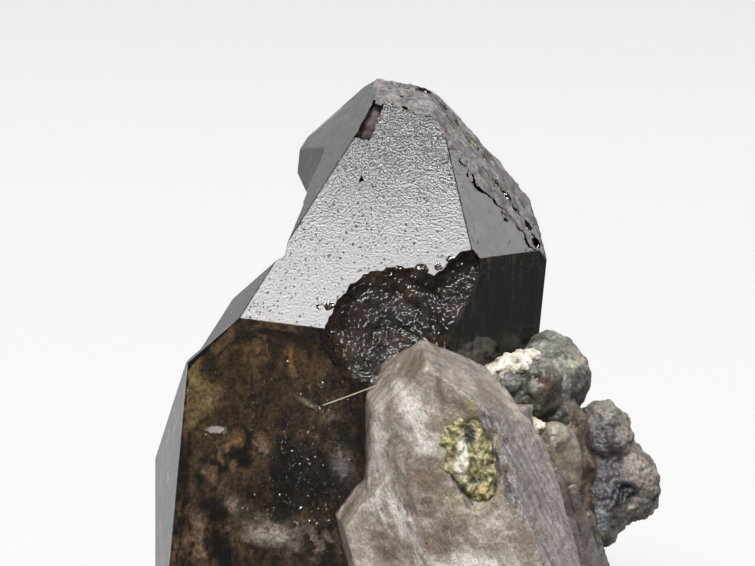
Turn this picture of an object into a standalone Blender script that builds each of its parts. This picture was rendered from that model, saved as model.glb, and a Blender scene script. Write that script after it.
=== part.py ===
"""A smoky quartz crystal with a paler side crystal and a cluster of small growths, grown as one piece.

The group stands upright and is cut off flat at its foot. Sizes are in millimetres here and become
metres in the mesh. The origin is on the cut, under the middle of the group.
"""

import math

import bmesh
import bpy
from mathutils import Matrix, Vector, noise

MM = 0.001
GROUP_NAME = "lightning_quartz_crystal"
BLOCK_SIZE = 400.0
FLAT_ANGLE = 0.02
PLANE_TOLERANCE = 1e-7
FINE_SHARE = 0.5
FINE_STEP = 2.3
QUARTZ_COLOUR = (0.10, 0.07, 0.05, 1.0)
QUARTZ_ROUGHNESS = 0.12

# Main crystal: its prism axis leans to the right, and its widest face looks slightly to the left.
# Every face is (azimuth, elevation, distance): azimuth 0 looks to the front and 90 to the right,
# elevation is the tilt of the face's normal above square to the axis, and distance is from AXIS_FOOT.
AXIS_FOOT = (-8.0, 0.0, 0.0)
AXIS_LEAN = 5.8
AXIS_YAW = -7.2
RHOMB = 38.2
MAIN_FACES = (
    (0, 0, 12.03),
    (60, 0, 12.26),
    (105, 0.8, 23.06),
    (135, 0, 24.96),
    (180, 0, 19.24),
    (-120, -13.5, 13.09),
    (-60, 0, 25.45),
    (0, RHOMB, 43.07),
    (60, RHOMB, 49.33),
    (80, 44.3, 57.5),
    (120, 46.2, 66.78),
    (180, RHOMB, 62.9),
    (-120, RHOMB, 61.57),
    (-60, RHOMB, 49.55),
    (90, 29.7, 48.63),
    (10, 68.0, 71.86),
    (100, 70.6, 79.47),
    (110, 6.3, 29.61),
)

# Left flank: the growth steps, each a wedge outside the faces named in it.
NECK_WALL = (-110, -13.7, -5.43)
LOBE_UNDERSIDE = (-80, -32.4, -26.86)
LOBE_FRONT = (-50, 0, 2.16)
LOBE_SIDE = (-120, 0, 19.61)
SHOULDER_TOP = (-120, RHOMB, 44.35)
SHOULDER_SIDE = (-120, 0, 12.62)
STEP_TOP = (-120, RHOMB, 40.69)
STEP_SIDE = (-120, 26.0, 33.6)
WEDGE_LAP = 1.5
WALL_SHIFT = 0.3
STEP_NOTCH = -0.5
STEP_LAP = 0.4
LOBE_BOTTOM = 62.0

# Front top: a deep groove beside the left edge of the front face, and a three-sided pit below it.
GROOVE_TOP = (-2.6, 10.1, 81.9)
GROOVE_END = (-4.8, 6.0, 76.6)
GROOVE_WIDTH = 1.9
GROOVE_DEPTH = 2.6
GROOVE_FACING = (-30, 42)
PIT_TOP = (-4.5, 3.0, 72.8)
PIT_END = (-5.3, 1.4, 70.8)
PIT_RADIUS = 0.9
PIT_SIDES = 3

# Broken corner at the front: rippled hollows, each (centre, radii, turn in degrees).
FRACTURE_HOLLOWS = (
    ((-0.4, -11.6, 55.8), (9.0, 5.2, 9.4), (-19.1, 5.8, 0.0)),
    ((6.6, -9.2, 58.4), (3.4, 3.4, 7.2), (-38.0, 30.0, 0.0)),
)
HOLLOW_ROUGHNESS = 0.5
HOLLOW_PITCH = 4.0
HOLLOW_DETAIL = 4
RIPPLE_START = 0.6
RIPPLE_PITCH = 2.1
RIPPLE_HEIGHT = 0.32

# Side crystal: stubby and weathered, in front of the main crystal's right edge.
SIDE_CENTRE = (7.0, -15.0, 40.0)
SIDE_FACES = (
    (-10, 6, 8.14),
    (0, 50, 13.2),
    (-75, 43.3, 12.01),
    (-85, 0.7, 11.06),
    (-45, -5.2, 9.6),
    (75, 56.1, 9.0),
    (55, 20.6, 9.96),
    (100, 33.3, 9.53),
    (100, 17.2, 10.58),
    (100, 12.2, 11.32),
    (180, 45, 11.4),
    (180, 0, 8.0),
)
SIDE_HEEL_FACES = (
    (-15, 4, 6.9),
    (-80, 35.9, 6.3),
    (-80, -13.5, 16.12),
    (60, 0, 4.5),
    (180, 0, 9.0),
    (0, 90, 4.0),
)
SIDE_ROUGHNESS = 0.45
SIDE_PITCH = 4.5
SIDE_MESH = 3.2
FOOT_DEPTH = 2.0
POCKET_CENTRE = (8.8, -24.0, 40.5)
POCKET_RADII = (3.4, 3.0, 6.0)
POCKET_TURN = (0, -12, 0)
POCKET_ROUGHNESS = 0.9
POCKET_PITCH = 2.0
POCKET_DETAIL = 3

# Growths on the right flank: (name, centre, radii, turn, roughness, lump pitch).
GROWTHS = (
    ("grey_knob", (20.8, 6.0, 43.9), (4.5, 4.8, 5.6), (0, 12, 0), 1.1, 3.6),
    ("knob_crown", (19.5, 6.5, 47.0), (3.6, 4.0, 3.9), (0, 20, 0), 0.5, 3.6),
    ("brown_knob", (16.8, -1.0, 44.2), (4.1, 3.8, 3.8), (0, 0, 0), 0.9, 2.8),
    ("knob_neck", (18.6, 3.0, 40.2), (4.3, 5.4, 5.8), (0, 0, 0), 1.1, 3.0),
    ("tongue", (20.4, -4.5, 35.8), (3.3, 2.8, 5.6), (0, -8, 0), 0.4, 4.0),
    ("cream_crust", (13.6, -1.6, 47.6), (6.0, 3.0, 1.9), (0, -24, 30), 0.8, 1.6),
    ("drusy_top", (27.2, 7.0, 36.1), (4.0, 4.6, 5.2), (0, 0, 0), 1.1, 2.4),
    ("drusy_right", (30.1, 7.0, 30.0), (4.6, 5.2, 5.6), (0, 0, 0), 1.1, 2.4),
    ("drusy_left", (26.2, 4.6, 28.4), (4.6, 4.9, 6.3), (0, 0, 0), 1.1, 2.4),
    ("drusy_back", (24.8, 10.6, 32.6), (4.6, 4.4, 7.4), (0, 20, 0), 1.2, 3.0),
    ("inner_bridge", (20.3, 3.0, 30.0), (5.8, 7.2, 14.0), (0, 0, 0), 1.4, 4.4),
)
GROWTH_DETAIL = 3

# Broken mass at the foot that ties the side crystal, the growths and the main crystal together.
ROOT_CENTRE = (15.5, -2.5, 0.0)
ROOT_FACES = (
    (0, 6, 10.0),
    (52, 13, 12.6),
    (84, 20, 13.6),
    (118, 9, 13.0),
    (160, 12, 13.5),
    (-70, 6, 15.0),
    (100, 56, 21.5),
    (35, 62, 22.5),
    (-30, 80, 24.0),
)
ROOT_MESH = 4.0
ROOT_ROUGHNESS = 1.3
ROOT_PITCH = 5.0

# Thin crystals between the side crystal and the growths: (foot, tip, foot radius, tip radius).
BLADES = (
    ((27.9, -9.7, -3.0), (19.6, -9.0, 36.4), 3.6, 0.9),
    ((29.8, -5.9, -3.0), (22.0, -5.8, 33.4), 4.2, 0.9),
    ((30.4, -1.8, -3.0), (24.3, -1.8, 28.6), 4.2, 1.0),
)
BLADE_SIDES = 6


def to_metres(point):
    """A point in millimetres as a vector in metres."""
    return Vector(point) * MM


def remove_everything():
    """Empty the scene of its objects."""
    for thing in list(bpy.data.objects):
        bpy.data.objects.remove(thing, do_unlink=True)


def new_collection(name):
    """A new collection in the scene."""
    collection = bpy.data.collections.new(name)
    bpy.context.scene.collection.children.link(collection)
    return collection


def smoky_material():
    """Dark smoky quartz."""
    material = bpy.data.materials.new("smoky_quartz")
    material.use_nodes = True
    shader = material.node_tree.nodes["Principled BSDF"]
    shader.inputs["Base Color"].default_value = QUARTZ_COLOUR
    shader.inputs["Roughness"].default_value = QUARTZ_ROUGHNESS
    shader.inputs["Metallic"].default_value = 0.0
    return material


def face_normal(azimuth, elevation, lean=0.0, yaw=0.0):
    """The outward normal of a face, for an axis that leans to the right by lean degrees."""
    around = math.radians(azimuth + yaw)
    above = math.radians(elevation)
    normal = Vector((math.sin(around) * math.cos(above), -math.cos(around) * math.cos(above), math.sin(above)))
    return Matrix.Rotation(math.radians(lean), 3, "Y") @ normal


def add_object(name, mesh_data, collection):
    """Put a finished bmesh into a collection as a named object."""
    mesh = bpy.data.meshes.new(name)
    mesh_data.to_mesh(mesh)
    mesh_data.free()
    thing = bpy.data.objects.new(name, mesh)
    collection.objects.link(thing)
    return thing


def keep_inside(mesh_data, point, normal):
    """Slice a closed mesh along a plane, drop the part outside it and close the cut."""
    everything = mesh_data.verts[:] + mesh_data.edges[:] + mesh_data.faces[:]
    cut = bmesh.ops.bisect_plane(
        mesh_data, geom=everything, dist=PLANE_TOLERANCE, plane_co=point, plane_no=normal, clear_outer=True
    )
    rim = [item for item in cut["geom_cut"] if isinstance(item, bmesh.types.BMEdge)]
    if rim:
        bmesh.ops.contextual_create(mesh_data, geom=rim)


def faceted_block(faces, foot, lean=0.0, yaw=0.0, inward=()):
    """A convex block bounded by faces, and lying outside the faces listed in inward."""
    mesh_data = bmesh.new()
    bmesh.ops.create_cube(mesh_data, size=BLOCK_SIZE * MM)
    bmesh.ops.translate(mesh_data, verts=mesh_data.verts, vec=to_metres(foot))
    for azimuth, elevation, distance in faces:
        normal = face_normal(azimuth, elevation, lean, yaw)
        keep_inside(mesh_data, to_metres(foot) + normal * distance * MM, normal)
    for azimuth, elevation, distance in inward:
        normal = face_normal(azimuth, elevation, lean, yaw)
        keep_inside(mesh_data, to_metres(foot) + normal * distance * MM, -normal)
    bmesh.ops.recalc_face_normals(mesh_data, faces=mesh_data.faces)
    return mesh_data


def shifted(face, outward):
    """The same face, further out by a distance."""
    azimuth, elevation, distance = face
    return (azimuth, elevation, distance + outward)


def refine(mesh_data, longest):
    """Split long edges until none is longer than the given length."""
    bmesh.ops.triangulate(mesh_data, faces=mesh_data.faces)
    long_edges = [edge for edge in mesh_data.edges if edge.calc_length() > longest * MM]
    while long_edges:
        bmesh.ops.subdivide_edges(mesh_data, edges=long_edges, cuts=1)
        bmesh.ops.triangulate(mesh_data, faces=mesh_data.faces)
        long_edges = [edge for edge in mesh_data.edges if edge.calc_length() > longest * MM]
    flat_edges = [edge for edge in mesh_data.edges if edge.calc_face_angle(0.0) < FLAT_ANGLE]
    bmesh.ops.beautify_fill(mesh_data, faces=mesh_data.faces, edges=flat_edges)


def roughen(mesh_data, height, pitch):
    """Push the vertices in and out along their normals by smooth noise."""
    mesh_data.normal_update()
    moves = []
    for vertex in mesh_data.verts:
        place = vertex.co / (pitch * MM)
        swell = noise.noise(place) + FINE_SHARE * noise.noise(place * FINE_STEP)
        moves.append((vertex, vertex.normal * swell * height * MM))
    for vertex, move in moves:
        vertex.co += move


def turned(turn):
    """A rotation from three angles in degrees about X, Y and Z."""
    spin = Matrix.Identity(3)
    for angle, axis in zip(turn, "XYZ"):
        spin = Matrix.Rotation(math.radians(angle), 3, axis) @ spin
    return spin


def pebble(centre, radii, turn, height, pitch, detail):
    """A rounded lump: a stretched and turned ball with an uneven skin."""
    mesh_data = bmesh.new()
    bmesh.ops.create_icosphere(mesh_data, subdivisions=detail, radius=MM)
    spin = turned(turn)
    for vertex in mesh_data.verts:
        stretched = Vector([part * radius for part, radius in zip(vertex.co, radii)])
        vertex.co = spin @ stretched + to_metres(centre)
    roughen(mesh_data, height, pitch)
    return mesh_data


def rippled_hollow(centre, radii, turn):
    """A ball with rings of ripples, to be cut away where the corner broke off."""
    mesh_data = pebble(centre, radii, turn, HOLLOW_ROUGHNESS, HOLLOW_PITCH, HOLLOW_DETAIL)
    start = to_metres(centre) + Vector((radii[0] * RIPPLE_START * MM, 0.0, radii[2] * MM))
    for vertex in mesh_data.verts:
        away = (vertex.co - start).length / (RIPPLE_PITCH * MM)
        outward = (vertex.co - to_metres(centre)).normalized()
        vertex.co += outward * math.sin(away * math.tau) * RIPPLE_HEIGHT * MM
    return mesh_data


def groove_cutter():
    """A slot from the groove's top to its end, sunk into the front face."""
    top = to_metres(GROOVE_TOP)
    end = to_metres(GROOVE_END)
    along = (top - end).normalized()
    across = along.cross(face_normal(*GROOVE_FACING, AXIS_LEAN, AXIS_YAW)).normalized()
    frame = Matrix((across, along.cross(across), along)).transposed()
    size = Vector((GROOVE_WIDTH * MM, 2 * GROOVE_DEPTH * MM, (top - end).length))
    mesh_data = bmesh.new()
    bmesh.ops.create_cube(mesh_data, size=1.0)
    for vertex in mesh_data.verts:
        vertex.co = frame @ Vector([part * side for part, side in zip(vertex.co, size)]) + (top + end) / 2
    return mesh_data


def pit_cutter():
    """A three-sided spike that leaves a pit in the front face."""
    top = to_metres(PIT_TOP)
    end = to_metres(PIT_END)
    normal = face_normal(0, RHOMB, AXIS_LEAN, AXIS_YAW)
    along = (end - top).normalized()
    frame = Matrix((along, normal.cross(along), normal)).transposed()
    stretch = (end - top).length / (2 * PIT_RADIUS * MM)
    mesh_data = bmesh.new()
    bmesh.ops.create_cone(
        mesh_data,
        cap_ends=True,
        segments=PIT_SIDES,
        radius1=0.0,
        radius2=PIT_RADIUS * MM,
        depth=2 * PIT_RADIUS * MM,
    )
    for vertex in mesh_data.verts:
        vertex.co = frame @ Vector((vertex.co.x * stretch, vertex.co.y, vertex.co.z)) + (top + end) / 2
    return mesh_data


def blade(foot, tip, foot_radius, tip_radius):
    """A thin six-sided crystal between two points."""
    start = to_metres(foot)
    along = to_metres(tip) - start
    mesh_data = bmesh.new()
    bmesh.ops.create_cone(
        mesh_data,
        cap_ends=True,
        segments=BLADE_SIDES,
        radius1=foot_radius * MM,
        radius2=tip_radius * MM,
        depth=along.length,
    )
    spin = along.to_track_quat("Z", "Y").to_matrix()
    for vertex in mesh_data.verts:
        vertex.co = spin @ vertex.co + start + along / 2
    return mesh_data


def combine(body, tool, operation):
    """Cut the tool from the body, or join it on."""
    tool.hide_render = True
    tool.display_type = "WIRE"
    change = body.modifiers.new(tool.name, "BOOLEAN")
    change.operation = operation
    change.solver = "EXACT"
    change.object = tool


def main_crystal(collection):
    """The large smoky crystal before its steps, groove, pit and broken corner are cut."""
    return add_object(GROUP_NAME, faceted_block(MAIN_FACES, AXIS_FOOT, AXIS_LEAN, AXIS_YAW), collection)


def flank_cutters(collection):
    """The wedges that leave the stepped left flank and the overhanging lobe."""
    lap = shifted(LOBE_UNDERSIDE, WEDGE_LAP)
    notch = shifted(LOBE_UNDERSIDE, STEP_NOTCH)
    wedges = (
        ("neck_wedge", (), (NECK_WALL, SHOULDER_TOP, LOBE_UNDERSIDE)),
        ("dent_wedge", (lap,), (shifted(NECK_WALL, WALL_SHIFT), LOBE_FRONT)),
        ("step_wedge", (), (SHOULDER_SIDE, STEP_TOP, notch)),
        ("foot_wedge", (shifted(STEP_TOP, STEP_LAP),), (STEP_SIDE,)),
    )
    cutters = []
    for name, faces, inward in wedges:
        block = faceted_block(faces, AXIS_FOOT, AXIS_LEAN, AXIS_YAW, inward)
        cutters.append(add_object(name, block, collection))
    block = faceted_block((), AXIS_FOOT, AXIS_LEAN, AXIS_YAW, (LOBE_SIDE,))
    keep_inside(block, to_metres((0, 0, LOBE_BOTTOM)), Vector((0, 0, -1)))
    cutters.append(add_object("lobe_side_wedge", block, collection))
    return cutters


def surface_cutters(collection):
    """The groove, the pit and the broken front corner."""
    cutters = [
        add_object("groove_cutter", groove_cutter(), collection),
        add_object("pit_cutter", pit_cutter(), collection),
    ]
    for number, (centre, radii, turn) in enumerate(FRACTURE_HOLLOWS, start=1):
        hollow = rippled_hollow(centre, radii, turn)
        cutters.append(add_object(f"broken_corner_{number}", hollow, collection))
    return cutters


def rough_block(name, faces, centre, mesh_size, height, pitch, collection):
    """A faceted block with an uneven skin, reaching down through the flat cut."""
    block = faceted_block(faces, centre)
    keep_inside(block, to_metres((0, 0, -FOOT_DEPTH)), Vector((0, 0, -1)))
    refine(block, mesh_size)
    roughen(block, height, pitch)
    return add_object(name, block, collection)


def side_crystal(collection):
    """The weathered side crystal with its heel and the pocket in its front."""
    body = rough_block("side_crystal", SIDE_FACES, SIDE_CENTRE, SIDE_MESH, SIDE_ROUGHNESS, SIDE_PITCH, collection)
    heel = rough_block("heel", SIDE_HEEL_FACES, SIDE_CENTRE, SIDE_MESH, SIDE_ROUGHNESS, SIDE_PITCH, collection)
    combine(body, heel, "UNION")
    hollow = pebble(POCKET_CENTRE, POCKET_RADII, POCKET_TURN, POCKET_ROUGHNESS, POCKET_PITCH, POCKET_DETAIL)
    combine(body, add_object("pocket_cutter", hollow, collection), "DIFFERENCE")
    return body


def growths(collection):
    """The broken foot, and the knobs, crusts and thin crystals on the right flank."""
    pieces = [rough_block("root", ROOT_FACES, ROOT_CENTRE, ROOT_MESH, ROOT_ROUGHNESS, ROOT_PITCH, collection)]
    for name, centre, radii, turn, height, pitch in GROWTHS:
        lump = pebble(centre, radii, turn, height, pitch, GROWTH_DETAIL)
        pieces.append(add_object(name, lump, collection))
    for number, (foot, tip, foot_radius, tip_radius) in enumerate(BLADES, start=1):
        pieces.append(add_object(f"blade_{number}", blade(foot, tip, foot_radius, tip_radius), collection))
    return pieces


def ground_cutter(collection):
    """Everything below the flat cut that the group stands on."""
    mesh_data = bmesh.new()
    bmesh.ops.create_cube(mesh_data, size=BLOCK_SIZE * MM)
    bmesh.ops.translate(mesh_data, verts=mesh_data.verts, vec=(0, 0, -BLOCK_SIZE * MM / 2))
    return add_object("ground_cutter", mesh_data, collection)


def build():
    """Make the crystal group."""
    remove_everything()
    parts = new_collection(GROUP_NAME)
    tools = new_collection("cutters")
    group = main_crystal(parts)
    for tool in flank_cutters(tools) + surface_cutters(tools):
        combine(group, tool, "DIFFERENCE")
    combine(group, side_crystal(tools), "UNION")
    for piece in growths(tools):
        combine(group, piece, "UNION")
    combine(group, ground_cutter(tools), "DIFFERENCE")
    group.data.materials.append(smoky_material())


build()
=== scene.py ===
"""The looks of the smoky quartz group: clear smoky main crystal, milky side crystal and rough growths.

Lengths are written in millimetres and become metres in the meshes. The group stands on z = 0, the big
bright tip face looks towards -Y, and angles are in degrees.
"""

import math
import random

import bmesh
import bpy
from mathutils import Matrix, Vector, noise


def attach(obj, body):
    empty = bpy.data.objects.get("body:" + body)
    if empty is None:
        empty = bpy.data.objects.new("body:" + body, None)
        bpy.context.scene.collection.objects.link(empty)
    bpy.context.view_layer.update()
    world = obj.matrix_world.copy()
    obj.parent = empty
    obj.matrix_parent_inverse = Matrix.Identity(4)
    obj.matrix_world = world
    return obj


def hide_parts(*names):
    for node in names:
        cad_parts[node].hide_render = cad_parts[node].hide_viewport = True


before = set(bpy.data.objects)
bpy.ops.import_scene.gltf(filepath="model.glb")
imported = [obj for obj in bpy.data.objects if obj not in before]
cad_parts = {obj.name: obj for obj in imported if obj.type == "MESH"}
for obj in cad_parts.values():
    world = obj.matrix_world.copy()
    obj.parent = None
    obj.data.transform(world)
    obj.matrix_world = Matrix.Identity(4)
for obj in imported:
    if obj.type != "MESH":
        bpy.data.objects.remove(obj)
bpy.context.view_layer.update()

MM = 0.001
NODE = "lightning_quartz_crystal"
BLOCK_SIZE = 400.0

# The main crystal's faces: (azimuth, slope, distance from the foot of the axis).
AXIS_FOOT = (-8, 0, 0)
AXIS_LEAN = 5.8
AXIS_YAW = -7.2
RHOMB = 38.2
FRONT = (0, 0, 12.03)
RIGHT = (60, 0, 12.26)
FAR_RIGHT = (105, 0.8, 23.06)
BACK_RIGHT = (135, 0, 24.96)
BACK = (180, 0, 19.24)
BACK_LEFT = (-120, -13.5, 13.09)
LEFT = (-60, 0, 25.45)
TIP_FRONT = (0, RHOMB, 43.07)
TIP_RIGHT = (60, RHOMB, 49.33)
TIP_WORN = (80, 44.3, 57.5)
TIP_BACK_RIGHT = (120, 46.2, 66.78)
TIP_BACK = (180, RHOMB, 62.9)
TIP_BACK_LEFT = (-120, RHOMB, 61.57)
TIP_LEFT = (-60, RHOMB, 49.55)
WORN_SHOULDER = (90, 29.7, 48.63)
TOP_FRONT = (10, 68, 71.86)
TOP_RIGHT = (100, 70.6, 79.47)
WORN_RIM = (110, 6.3, 29.61)
PRISM_FACES = (FRONT, RIGHT, FAR_RIGHT, BACK_RIGHT, BACK, BACK_LEFT, LEFT)
TIP_FACES = (TIP_FRONT, TIP_RIGHT, TIP_WORN, TIP_BACK_RIGHT, TIP_BACK, TIP_BACK_LEFT, TIP_LEFT)
MAIN_FACES = (*PRISM_FACES, *TIP_FACES, WORN_SHOULDER, TOP_FRONT, TOP_RIGHT, WORN_RIM)

# The planes of the stepped left flank, in the same form.
NECK_WALL = (-110, -13.7, -5.43)
LOBE_UNDERSIDE = (-80, -32.4, -26.86)
LOBE_FRONT = (-50, 0, 2.16)
LOBE_SIDE = (-120, 0, 19.61)
LOBE_BOTTOM = 62.0
SHOULDER_TOP = (-120, RHOMB, 44.35)
SHOULDER_SIDE = (-120, 0, 12.62)
STEP_TOP = (-120, RHOMB, 40.69)
STEP_SIDE = (-120, 26, 33.6)
WEDGE_LAP = 1.5
WALL_SHIFT = 0.3
STEP_NOTCH = -0.5
STEP_LAP = 0.4


def metres(point):
    """A point in millimetres as a vector in metres."""
    return Vector(point) * MM


def clamp(value):
    """A value held between 0 and 1."""
    return max(0.0, min(1.0, value))


# Shapes


def face_normal(azimuth, elevation, lean=0.0, yaw=0.0):
    """The outward normal of a face, for an axis that leans to the right by lean degrees."""
    around = math.radians(azimuth + yaw)
    above = math.radians(elevation)
    level = math.cos(above)
    normal = Vector((math.sin(around) * level, -math.cos(around) * level, math.sin(above)))
    return Matrix.Rotation(math.radians(lean), 3, "Y") @ normal


def main_normal(azimuth, elevation):
    """The outward normal of one of the main crystal's faces."""
    return face_normal(azimuth, elevation, AXIS_LEAN, AXIS_YAW)


def planes(faces):
    """Faces of the main crystal as pairs of normal and distance."""
    return [(main_normal(azimuth, slope), distance) for azimuth, slope, distance in faces]


def shifted(face, outward):
    """The same face, further out by a distance."""
    azimuth, elevation, distance = face
    return (azimuth, elevation, distance + outward)


def show(name, data):
    """Make an object from its data and put it in the scene."""
    thing = bpy.data.objects.new(name, data)
    bpy.context.scene.collection.objects.link(thing)
    return thing


def new_object(name, mesh_data, smooth=False):
    """Make an object from a finished bmesh."""
    mesh = bpy.data.meshes.new(name)
    mesh_data.to_mesh(mesh)
    mesh_data.free()
    if smooth:
        mesh.shade_smooth()
    return show(name, mesh)


def piece(thing, material):
    """Give a finished piece its material and tie it to the frame."""
    thing.data.materials.clear()
    thing.data.materials.append(material)
    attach(thing, "root")
    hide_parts(NODE)
    return thing


def bmesh_of(body):
    """A bmesh copy of an object's mesh."""
    mesh_data = bmesh.new()
    mesh_data.from_mesh(body.data)
    return mesh_data


def write_back(body, mesh_data):
    """Replace an object's mesh by a finished bmesh."""
    mesh_data.to_mesh(body.data)
    mesh_data.free()
    return body


def drop(body, mesh_data, gone, context="VERTS"):
    """Delete some vertices or faces of an object's bmesh, and write it back."""
    bmesh.ops.delete(mesh_data, geom=gone, context=context)
    return write_back(body, mesh_data)


def cube(centre=(0, 0, 0)):
    """A cube far larger than the object, to be cut down or to cut with."""
    mesh_data = bmesh.new()
    bmesh.ops.create_cube(mesh_data, size=BLOCK_SIZE * MM)
    bmesh.ops.translate(mesh_data, verts=mesh_data.verts, vec=metres(centre))
    return mesh_data


def keep_inside(mesh_data, point, normal):
    """Slice a closed mesh along a plane, drop the part outside it and close the cut."""
    everything = mesh_data.verts[:] + mesh_data.edges[:] + mesh_data.faces[:]
    cut = bmesh.ops.bisect_plane(
        mesh_data, geom=everything, dist=1e-7, plane_co=point, plane_no=normal, clear_outer=True
    )
    rim = [item for item in cut["geom_cut"] if isinstance(item, bmesh.types.BMEdge)]
    if rim:
        bmesh.ops.contextual_create(mesh_data, geom=rim)


def keep_above(mesh_data, height):
    """Cut a closed mesh off flat, and keep what lies above."""
    keep_inside(mesh_data, metres((0, 0, height)), Vector((0, 0, -1)))


def faceted_block(faces, foot, lean=0.0, yaw=0.0, inward=()):
    """A convex block bounded by faces, and lying outside the faces listed in inward."""
    mesh_data = cube(foot)
    for side, sign in ((faces, 1), (inward, -1)):
        for azimuth, elevation, distance in side:
            normal = face_normal(azimuth, elevation, lean, yaw)
            keep_inside(mesh_data, metres(foot) + normal * distance * MM, normal * sign)
    bmesh.ops.recalc_face_normals(mesh_data, faces=mesh_data.faces)
    return mesh_data


def main_block(faces, inward=()):
    """A block bounded by faces in the main crystal's directions."""
    return faceted_block(faces, AXIS_FOOT, AXIS_LEAN, AXIS_YAW, inward)


def grounded_block(faces, centre):
    """A faceted block cut off at the ground."""
    block = faceted_block(faces, centre)
    keep_above(block, 0.0)
    return block


def swell(place, pitch, octaves=3):
    """Smooth noise with finer noise on top, about -1 to 1, for a point in millimetres."""
    total = 0.0
    size = 1.0
    for _ in range(octaves):
        total += size * noise.noise(place / pitch)
        pitch /= 2.1
        size /= 2.0
    return total


def roughen(mesh_data, layers):
    """Push the vertices in and out along their normals: layers holds (height, pitch, octaves).

    The push, as a share of the layers' heights, is kept on the mesh as "rise".
    """
    mesh_data.normal_update()
    kept = mesh_data.verts.layers.float.new("rise")
    most = sum(layer[0] for layer in layers)
    moves = []
    for vertex in mesh_data.verts:
        place = vertex.co / MM
        rise = sum(height * swell(place, pitch, octaves) for height, pitch, octaves in layers)
        vertex[kept] = rise / most
        moves.append(vertex.normal * rise * MM)
    for vertex, move in zip(mesh_data.verts, moves):
        vertex.co += move


def turned(turn):
    """A rotation from three angles about X, Y and Z."""
    spin = Matrix.Identity(3)
    for angle, axis in zip(turn, "XYZ"):
        spin = Matrix.Rotation(math.radians(angle), 3, axis) @ spin
    return spin


def placed(mesh_data, scale, spin, centre):
    """Scale a bmesh along its axes, turn it and move it to a centre in metres."""
    for vertex in mesh_data.verts:
        stretched = Vector([part * times for part, times in zip(vertex.co, scale)])
        vertex.co = spin @ stretched + centre


def pebble(centre, radii, turn, layers, detail):
    """A rounded lump: a stretched and turned ball with an uneven skin."""
    mesh_data = bmesh.new()
    bmesh.ops.create_icosphere(mesh_data, subdivisions=detail, radius=MM)
    placed(mesh_data, radii, turned(turn), metres(centre))
    roughen(mesh_data, layers)
    return mesh_data


def boolean(body, tool, operation="DIFFERENCE", smooth=False):
    """Cut an object with a bmesh, or join them, for good."""
    other = new_object("tool", tool, smooth)
    change = body.modifiers.new("cut", "BOOLEAN")
    change.operation = operation
    change.solver = "EXACT"
    change.object = other
    graph = bpy.context.evaluated_depsgraph_get()
    finished = bpy.data.meshes.new_from_object(body.evaluated_get(graph))
    body.modifiers.clear()
    body.data = finished
    bpy.data.objects.remove(other, do_unlink=True)


def fused(body, voxel, smoothing, layers):
    """Melt overlapping closed parts into one fine skin, roughen it and keep it above the ground."""
    melt = body.modifiers.new("melt", "REMESH")
    melt.mode = "VOXEL"
    melt.voxel_size = voxel * MM
    graph = bpy.context.evaluated_depsgraph_get()
    mesh_data = bmesh.new()
    mesh_data.from_mesh(body.evaluated_get(graph).to_mesh())
    body.modifiers.clear()
    axes = {"use_axis_x": True, "use_axis_y": True, "use_axis_z": True}
    for _ in range(smoothing):
        bmesh.ops.smooth_vert(mesh_data, verts=mesh_data.verts, factor=0.5, **axes)
    roughen(mesh_data, layers)
    for vertex in mesh_data.verts:
        vertex.co.z = max(vertex.co.z, 0.0)
    write_back(body, mesh_data).data.shade_smooth()
    return body


# Materials

# The sockets of a mix node that hold its share, its two colours and its result.
MIX_SHARE = 0
MIX_FIRST = 6
MIX_SECOND = 7
MIX_RESULT = 2


class Value:
    """A number or colour inside a node tree, with plain arithmetic."""

    def __init__(self, nodes, socket):
        self.nodes = nodes
        self.socket = socket

    def __add__(self, other):
        return self.nodes.combine("ADD", self, other)

    def __sub__(self, other):
        return self.nodes.combine("SUBTRACT", self, other)

    def __mul__(self, other):
        return self.nodes.combine("MULTIPLY", self, other)


class Nodes:
    """A node tree built from short calls."""

    def __init__(self, tree):
        self.tree = tree

    def feed(self, socket, value):
        """Link a socket to a value of the tree, or set it to a plain number, vector or colour."""
        if isinstance(value, Value):
            self.tree.links.new(value.socket, socket)
        elif socket.type == "RGBA":
            socket.default_value = (*value, 1.0)
        else:
            socket.default_value = value

    def node(self, kind, output, inputs, **settings):
        """Add a node with its settings and inputs, and return one of its outputs."""
        node = self.tree.nodes.new(kind)
        for key, value in settings.items():
            setattr(node, key, value)
        for key, value in inputs.items():
            self.feed(node.inputs[key], value)
        return Value(self, node.outputs[output])

    def combine(self, operation, first, second):
        """Add, subtract or multiply two numbers."""
        return self.node("ShaderNodeMath", "Value", {0: first, 1: second}, operation=operation)

    def vector(self, operation, output, *parts):
        """Do vector arithmetic, for the output Vector or Value."""
        return self.node("ShaderNodeVectorMath", output, dict(enumerate(parts)), operation=operation)

    def span(self, value, low=0.0, high=1.0, to_low=0.0, to_high=1.0, ease="SMOOTHSTEP"):
        """Map low..high to to_low..to_high, held between them and eased."""
        limits = {"From Min": low, "From Max": high, "To Min": to_low, "To Max": to_high}
        return self.node("ShaderNodeMapRange", "Result", {"Value": value, **limits}, interpolation_type=ease)


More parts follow.
